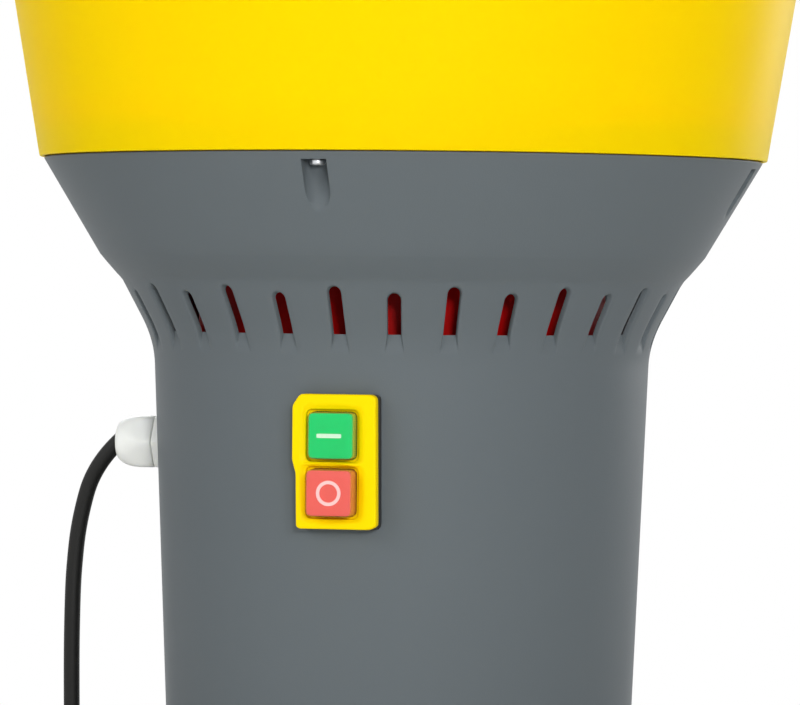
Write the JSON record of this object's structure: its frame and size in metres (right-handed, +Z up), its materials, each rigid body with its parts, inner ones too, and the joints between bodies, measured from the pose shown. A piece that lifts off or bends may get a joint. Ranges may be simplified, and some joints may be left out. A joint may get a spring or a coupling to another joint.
{
  "type": "grain mill",
  "caption": "Electric grain mill that stands on a bucket: tapered hopper on a vented housing with a switch, knife rotor in a sieve drum, upright motor and mains cord.",
  "frame": {"origin": "on the axis of the mill, at the height of the housing's lower rim", "axes": "+Z up, the switch faces -Y, the cable gland points along -X"},
  "size_m": [0.4986, 0.4986, 0.6907],
  "materials": {
    "hopper": "yellow, smooth, slightly translucent moulding",
    "housing": "grey moulding, fine satin texture",
    "drum": "red enamel on pressed steel",
    "plate": "yellow moulding, satin",
    "start": "green, satin",
    "stop": "red, satin",
    "hoods": "clear soft moulding",
    "gland": "off-white nylon",
    "cord": "black round cord",
    "rubber": "black, matt",
    "black_plastic": "black moulding",
    "fan_cover": "black painted sheet",
    "sheet": "zinc plated sheet",
    "zinc": "zinc plated, bright",
    "steel": "machined steel",
    "laminations": "stacked sheets, dull",
    "aluminium": "cast, dull",
    "capacitor": "light grey can",
    "pins": "turned, bright"
  },
  "bodies": {
    "mill_body": {"hopper": "hopper", "housing": "housing", "foot_ring": "housing", "chamber_drum": "drum", "switch_plate": "plate", "gland_body": "gland", "gland_nut": "gland", "gland_locknut": "gland", "power_cord": "cord", "cord_coil": "cord", "cord_tail": "cord", "supply_lead": "cord", "motor_lead": "cord", "throat_gasket": "rubber", "switch_gasket": "rubber", "shaft_seal": "rubber", "coil_tie": "rubber", "switch_body": "black_plastic", "plug_body": "black_plastic", "fan_cover": "fan_cover", "chamber_plate": "sheet", "capacitor_clamp": "sheet", "hopper_screw_1": "zinc", "hopper_screw_2": "zinc", "hopper_screw_3": "zinc", "hopper_screw_4": "zinc", "plate_bolt_1": "zinc", "plate_bolt_2": "zinc", "plate_bolt_3": "zinc", "plate_bolt_4": "zinc", "motor_bolt_1": "zinc", "motor_bolt_2": "zinc", "motor_bolt_3": "zinc", "motor_bolt_4": "zinc", "gate_pivot_bolt": "zinc", "gate_wing_nut": "zinc", "sieve_ring": "steel", "front_bearing": "steel", "rear_bearing": "steel", "motor_stator": "laminations", "motor_front_shield": "aluminium", "motor_frame": "aluminium", "motor_rear_shield": "aluminium", "capacitor": "capacitor", "plug_pin_1": "pins", "plug_pin_2": "pins"},
    "rotor": {"motor_shaft": "steel", "motor_rotor_core": "laminations", "motor_fan": "black_plastic", "knife_hub": "steel", "lower_knife": "steel", "knife_spacer": "steel", "upper_knife": "steel", "knife_nut": "zinc"},
    "start_push": {"start_button": "start", "start_hood": "hoods"},
    "stop_push": {"stop_button": "stop", "stop_hood": "hoods"},
    "gate": {"feed_gate": "sheet", "gate_knob": "black_plastic"}
  },
  "joints": [
    {"name": "rotor_spin", "type": "hinge", "parent": "mill_body", "child": "rotor", "pos_m": [0, 0, 0.25], "axis": [0, 0, 1], "continuous": true},
    {"name": "start_press", "type": "slide", "parent": "mill_body", "child": "start_push", "axis": [0, 1, 0], "range_m": [0, 0.003], "stiffness_N_per_m": 800, "springref_m": -0.001},
    {"name": "stop_press", "type": "slide", "parent": "mill_body", "child": "stop_push", "axis": [0, 1, 0], "range_m": [0, 0.004], "stiffness_N_per_m": 800, "springref_m": -0.001},
    {"name": "gate_turn", "type": "hinge", "parent": "mill_body", "child": "gate", "pos_m": [0, 0, 0.3116], "axis": [0, 0, 1], "range_deg": [0, 180]}
  ]
}
